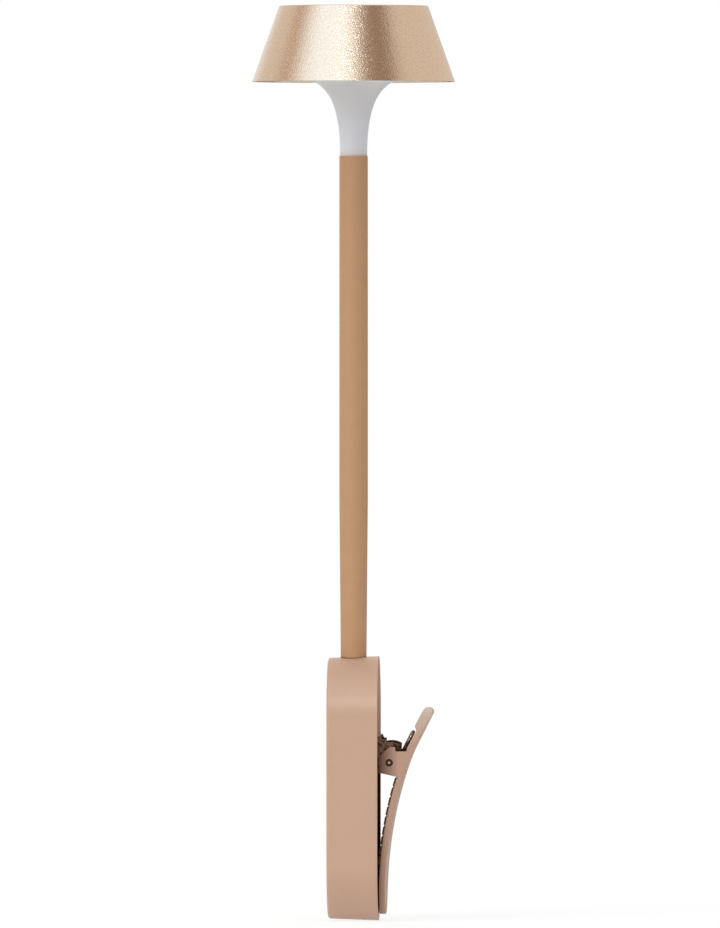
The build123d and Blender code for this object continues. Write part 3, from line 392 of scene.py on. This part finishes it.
def dress_nodes():
    """Give every CAD node the finish of its slot, and the hinge pin its own."""
    for part in frame["record"]["subparts"]:
        mesh = frame["nodes"][part["node"]].data
        mesh.materials.clear()
        own = PIN_FINISH if part["node"] == "hinge_pin" else FINISHES[part["material_slot"]]
        mesh.materials.append(own)


# Shapes


def add_object(name, data):
    """A new object in the scene, for a mesh, a light or a camera."""
    made = bpy.data.objects.new(name, data)
    bpy.context.scene.collection.objects.link(made)
    return made


def whole_turn(count):
    """Evenly spaced angles round a circle, in radians."""
    return np.linspace(0.0, 2 * np.pi, count, endpoint=False)


def skin(name, rings, slot, closed_along=False):
    """A mesh over a grid of points (ring, place in the ring, xyz) whose rings are closed.

    Its two ends are closed by one face each, or joined to each other where closed_along is set."""
    count, around, _ = rings.shape
    index = np.arange(count * around).reshape(count, around)
    low = index if closed_along else index[:-1]
    high = np.roll(index, -1, axis=0) if closed_along else index[1:]
    quads = np.stack([low, np.roll(low, -1, 1), np.roll(high, -1, 1), high], axis=-1)
    faces = quads.reshape(-1, 4).tolist()
    if not closed_along:
        faces += [index[0, ::-1].tolist(), index[-1].tolist()]
    mesh = bpy.data.meshes.new(name)
    mesh.from_pydata(rings.reshape(-1, 3).tolist(), [], faces)
    mesh.polygons.foreach_set("use_smooth", np.ones(len(faces), dtype=bool))
    mesh.set_sharp_from_angle(angle=SHARP_ANGLE)
    mesh.materials.append(FINISHES[slot])
    piece = add_object(name, mesh)
    return piece


def turned_rings(radius, z):
    """Carry a profile (radius, z) round the Z axis: a point is (r cos u, r sin u, z)."""
    turn = whole_turn(AROUND)
    radius, z = radius[:, None], z[:, None]
    return np.stack([radius * np.cos(turn), radius * np.sin(turn), z + 0 * turn], axis=-1)


def tube_rings(path, side, radius, around):
    """Carry a circle along a path: a point is path + r (cos u side + sin u other).

    side is a unit vector square to the path at each point, other is square to both."""
    way = np.gradient(path, axis=0)
    other = np.cross(way, side)
    other /= np.linalg.norm(other, axis=1)[:, None]
    turn = whole_turn(around)[None, :, None]
    return path[:, None] + radius * (np.cos(turn) * side[:, None] + np.sin(turn) * other[:, None])


# Pieces that bend


def stem_radius(z):
    """The sleeve's radius: it narrows evenly from the taper's top down to the housing."""
    share = np.clip((z - HOUSING_TOP_Z) / (TAPER_TOP_Z - HOUSING_TOP_Z), 0.0, 1.0)
    return STEM_FOOT_RADIUS + (STEM_RADIUS - STEM_FOOT_RADIUS) * share


def neck_cuts(low, high):
    """Heights that divide the stem: its two ends and half way between hinges."""
    return [low, *[(a + b) / 2 for a, b in zip(HINGE_Z, HINGE_Z[1:])], high]


def bend_over_hinge(piece, index, cuts):
    """Bake a length of the stem's placing into its mesh. The span round its hinge is worked out but not used."""
    hinge = HINGE_Z[index]
    reach = min(hinge - max(cuts[index], HOUSING_TOP_Z), min(cuts[index + 1], SLEEVE_TOP_Z) - hinge)
    start, end = (0, 0, hinge - reach), (0, 0, hinge + reach)
    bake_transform(piece)


def make_sleeve():
    """The smooth sleeve: one length of tube over each hinge, the last one up to the head."""
    cuts = neck_cuts(SLEEVE_FOOT_Z, SLEEVE_TOP_Z)
    for i in range(len(HINGE_Z)):
        z = np.linspace(cuts[i], cuts[i + 1], SLEEVE_RINGS)
        radius = np.concatenate([stem_radius(z), np.full_like(z, SLEEVE_BORE)])
        rings = turned_rings(radius, np.concatenate([z, z[::-1]]))
        piece = skin(f"sleeve_{i}", rings, "silicone", closed_along=True)
        bend_over_hinge(piece, i, cuts)
        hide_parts(f"neck_sleeve_{i}")
    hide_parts(f"neck_sleeve_{i}", f"neck_sleeve_{i + 1}")


def lead_path(low, high, side):
    """One lead's straight run up the stem, on one side of its axis."""
    z = np.linspace(low, high, LEAD_RINGS)
    return np.stack([np.zeros_like(z), np.full_like(z, side * LEAD_SIDE), z], axis=-1)


def lead_end(side):
    """One lead in the head: a quarter bend outwards, a run, a quarter bend up to the LED board."""
    quarter = np.linspace(0.0, np.pi / 2, BEND_RINGS)
    fast, slow = LEAD_BEND * np.sin(quarter), LEAD_BEND * (1 - np.cos(quarter))
    out = np.stack([LEAD_SIDE + slow, LEAD_TURN_Z - LEAD_BEND + fast], axis=-1)
    up = np.stack([LEAD_REACH - LEAD_BEND + fast, LEAD_TURN_Z + slow], axis=-1)
    run = np.concatenate([out[1:], up, [[LEAD_REACH, LEAD_HIGH[2]]]])
    return np.stack([np.zeros(len(run)), side * run[:, 0], run[:, 1]], axis=-1)


def make_leads():
    """The two leads inside the stem, divided as the sleeve is."""
    cuts = neck_cuts(LEAD_LOW[2], LEAD_TURN_Z - LEAD_BEND)
    last = len(HINGE_Z) - 1
    for i in range(len(HINGE_Z)):
        for side, word in ((-1, "near"), (1, "far")):
            path = lead_path(cuts[i], cuts[i + 1], side)
            path = np.concatenate([path, lead_end(side)]) if i == last else path
            across = np.broadcast_to([1.0, 0.0, 0.0], path.shape)
            rings = tube_rings(path, across, LEAD_RADIUS, LEAD_AROUND)
            piece = skin(f"lead_{word}_{i}", rings, "insulation")
            bend_over_hinge(piece, i, cuts)
            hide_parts("lamp_leads")


def spring_half(side):
    """Half of the double torsion spring: its path, a unit vector square to it, and the coil's inner y.

    A leg comes down the bracket to the coil. The coil is a helix about the pin that climbs at an
    even rate and eases in and out. A leg leaves it along its tangent to the bar, where a quarter
    bend turns it towards the middle. The square vector points away from the pin all the way."""
    reach = np.hypot(BAR_X - PIN_X, BAR_Z - PIN_Z)
    leave = np.arctan2(BAR_Z - PIN_Z, BAR_X - PIN_X) - np.arccos(COIL_RADIUS / reach)
    turn = np.linspace(np.pi, 2 * np.pi * (COIL_TURNS + 1) + leave, COIL_RINGS * COIL_TURNS)
    share = np.linspace(0.0, 1.0, len(turn))
    rate = np.clip(np.minimum(share, 1 - share) / COIL_EASE, LEAST_CLIMB, 1.0)
    climb = np.cumsum(rate) - rate[0]
    y = COIL_OUTER_Y - COIL_PITCH * (turn[-1] - turn[0]) / (2 * np.pi) * climb / climb[-1]

    out = np.stack([np.cos(turn), 0 * turn, np.sin(turn)], axis=-1)
    coil = np.array([PIN_X, 0, PIN_Z]) + COIL_RADIUS * out
    coil[:, 1] = y
    down = np.linspace(SPRING_LEG_RISE, 0.0, LEG_RINGS)[:-1, None]
    leg = coil[0] + down * [0, 0, 1]
    way = np.array([-out[-1, 2], 0, out[-1, 0]])
    corner = np.array([BAR_X, y[-1], BAR_Z])
    rise = coil[-1] + np.linspace(0, 1, LEG_RINGS)[1:, None] * (corner - way * SPRING_BEND - coil[-1])
    quarter = np.linspace(0, np.pi / 2, BEND_RINGS)[1:, None]
    inward = np.array([0, -1.0, 0])
    bend = rise[-1] + SPRING_BEND * (np.sin(quarter) * way + (1 - np.cos(quarter)) * inward)
    bar = bend[-1] + np.linspace(0, 1, BAR_RINGS)[1:, None] * [0, -bend[-1, 1], 0]

    path = np.concatenate([leg, coil, rise, bend, bar])
    before, after = len(leg), len(rise) + len(bend) + len(bar)
    square = np.concatenate([np.repeat(out[:1], before, 0), out, np.repeat(out[-1:], after, 0)])
    return path * [1, side, 1], square, float(side * y[-1])


def make_spring():
    """The double torsion spring in two halves, between the bracket and the lever."""
    for side, word in ((-1, "near"), (1, "far")):
        path, square, inner_y = spring_half(side)
        rings = tube_rings(path, square, WIRE_RADIUS, WIRE_AROUND)
        piece = skin(f"spring_{word}", rings, "bronze")
        piece.data.materials[0] = SPRING_FINISH
        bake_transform(piece)
        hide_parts("clip_spring")


dress_nodes()
make_sleeve()
make_leads()
make_spring()


# Studio

# Levels of light, where 1 is white: what the world gives to surfaces, the floor's share of glow to
# the camera and to other rays, and how bright the rest of the floor is under the lights.
AMBIENT = 0.45
FLOOR_SHOWN = 0.8
FLOOR_GLOW = 0.5
FLOOR_LIT = 0.9

# Sizes in metres.
LAMP_MIDDLE = 0.17
FLOOR_RADIUS = 0.5

# Colours in linear light.
WHITE = (1.0, 1.0, 1.0, 1.0)
PALE = (0.92, 0.92, 0.92, 1.0)
COOL = (0.92, 1.07, 1.2, 1.0)
WARM = (1.0, 0.9, 0.8, 1.0)
BROWN = (1.0, 0.68, 0.46, 1.0)


def light_path(tree, name):
    """Whether a ray is of a kind, 0 or 1."""
    return Socket.node(tree, "ShaderNodeLightPath", out=name)


def white_world():
    """White to the camera and in reflections, a plain lower level as light."""
    world = bpy.data.worlds.new("studio_white")
    bpy.context.scene.world = world
    world.use_nodes = True
    tree = world.node_tree
    tree.nodes.clear()
    kinds = ("Is Camera Ray", "Is Glossy Ray", "Is Transmission Ray")
    shown = sum(light_path(tree, kind) for kind in kinds).clipped()
    strength = AMBIENT + (1.0 - AMBIENT) * shown
    glow = Socket.node(tree, "ShaderNodeBackground", {}, {"Color": WHITE, "Strength": strength})
    Socket.node(tree, "ShaderNodeOutputWorld", {}, {"Surface": glow})


def look_at(made, spot, target):
    """Put an object at a spot with its -Z axis towards a target."""
    made.location = spot
    made.rotation_euler = (Vector(spot) - Vector(target)).to_track_quat("Z", "Y").to_euler()


def aim_at_lamp(made, azimuth, elevation, distance):
    """Put an object round the lamp's middle, facing it: azimuth 0 is the front, 90 the right."""
    turn, lift = math.radians(azimuth), math.radians(elevation)
    flat = distance * math.cos(lift)
    spot = (flat * math.sin(turn), -flat * math.cos(turn), LAMP_MIDDLE + distance * math.sin(lift))
    look_at(made, spot, (0, 0, LAMP_MIDDLE))


def softbox(name, azimuth, elevation, distance, width, tall, level):
    """A rectangular soft light of a given brightness, aimed at the lamp's middle.

    Reflections see the cards in its place."""
    light = bpy.data.lights.new(name, "AREA")
    light.shape, light.size, light.size_y = "RECTANGLE", width, tall
    light.energy = level * math.pi * width * tall
    made = add_object(name, light)
    aim_at_lamp(made, azimuth, elevation, distance)
    made.visible_glossy = False


def card(name, azimuth, elevation, distance, width, tall, level, tint=WHITE):
    """A card of a given brightness and tint that only reflections see."""
    corners = np.array([[-1, -1, 0], [1, -1, 0], [1, 1, 0], [-1, 1, 0]]) * [width / 2, tall / 2, 0]
    mesh = bpy.data.meshes.new(name)
    mesh.from_pydata(corners.tolist(), [], [(0, 1, 2, 3)])
    material, tree = new_tree(name)
    glow = Socket.node(tree, "ShaderNodeEmission", {}, {"Color": tint, "Strength": level})
    Socket.node(tree, "ShaderNodeOutputMaterial", {}, {"Surface": glow})
    mesh.materials.append(material)
    made = add_object(name, mesh)
    aim_at_lamp(made, azimuth, elevation, distance)
    made.visible_camera = made.visible_diffuse = made.visible_shadow = False


def white_floor():
    """A round pale floor, mostly white to the camera, that keeps the lamp's shadow."""
    turn = whole_turn(AROUND)
    rim = np.stack([np.cos(turn), np.sin(turn), 0 * turn], axis=-1) * FLOOR_RADIUS
    mesh = bpy.data.meshes.new("floor")
    mesh.from_pydata(rim.tolist(), [], [list(range(len(rim)))])
    material, tree = new_tree("floor_white")
    lit = Socket.node(tree, "ShaderNodeBsdfDiffuse", {}, {"Color": PALE})
    strength = (1 - (1 - FLOOR_SHOWN) * FLOOR_LIT) / FLOOR_SHOWN
    glow = Socket.node(tree, "ShaderNodeEmission", {}, {"Color": WHITE, "Strength": strength})
    seen = FLOOR_GLOW + light_path(tree, "Is Camera Ray") * (FLOOR_SHOWN - FLOOR_GLOW)
    shader = Socket.node(tree, "ShaderNodeMixShader", {}, {0: seen, 1: lit, 2: glow})
    Socket.node(tree, "ShaderNodeOutputMaterial", {}, {"Surface": shader})
    mesh.materials.append(material)
    floor = add_object("floor", mesh)


# Camera: a long lens level with the upper stem, a little round to the clip's side.
VIEW_AZIMUTH = math.radians(2.0)
VIEW_DISTANCE = 5.0
VIEW_HEIGHT = 212.35 * MM
PICTURE_ROWS = 928
ROWS_PER_MM = 3.0
FRAME_HEIGHT = PICTURE_ROWS / ROWS_PER_MM * MM
FRAME_RIGHT = 2.13 * MM
FRAME_MIDDLE = 152.15 * MM
SENSOR = 24.0


def make_camera():
    """The camera at the photograph's angle, framed on the lamp."""
    camera = bpy.data.cameras.new("camera")
    camera.sensor_fit, camera.sensor_height = "VERTICAL", SENSOR
    camera.lens = SENSOR * VIEW_DISTANCE / FRAME_HEIGHT
    viewer = add_object("camera", camera)
    right = Vector((math.cos(VIEW_AZIMUTH), math.sin(VIEW_AZIMUTH), 0))
    back = Vector((math.sin(VIEW_AZIMUTH), -math.cos(VIEW_AZIMUTH), 0))
    target = right * FRAME_RIGHT + Vector((0, 0, FRAME_MIDDLE))
    rise = Vector((0, 0, VIEW_HEIGHT - FRAME_MIDDLE))
    look_at(viewer, target + back * VIEW_DISTANCE + rise, target)
    bpy.context.scene.camera = viewer


white_world()
white_floor()
softbox("softbox_left", azimuth=-50, elevation=25, distance=1.6, width=1.2, tall=1.2, level=2.6)
softbox("softbox_right", azimuth=55, elevation=20, distance=1.6, width=1.2, tall=1.2, level=0.9)
softbox("softbox_front", azimuth=-10, elevation=62, distance=1.6, width=1.0, tall=0.8, level=2.1)
softbox("softbox_back", azimuth=180, elevation=30, distance=1.6, width=1.2, tall=1.2, level=2.4)
card("card_bright", azimuth=-37.5, elevation=38, distance=2.2,
     width=1.73, tall=2.0, level=1.36, tint=COOL)
card("card_dark", azimuth=35, elevation=36, distance=2.4,
     width=1.64, tall=2.2, level=0.33, tint=BROWN)
card("card_dip", azimuth=-91, elevation=36, distance=2.4,
     width=0.7, tall=1.8, level=0.55, tint=BROWN)
card("card_right", azimuth=120, elevation=34, distance=2.5,
     width=7.5, tall=2.4, level=0.8, tint=WARM)
card("card_left", azimuth=-136, elevation=36, distance=2.5,
     width=2.8, tall=2.0, level=0.8, tint=WARM)
card("card_low", azimuth=-2, elevation=-4, distance=2.6, width=0.9, tall=0.7, level=0.25)
card("card_back", azimuth=150, elevation=-12, distance=2.6,
     width=4.0, tall=1.2, level=0.08, tint=BROWN)
card("card_body", azimuth=-4, elevation=22, distance=2.4, width=0.9, tall=0.5, level=8.5)
make_camera()
bpy.context.scene.view_settings.view_transform = "Standard"
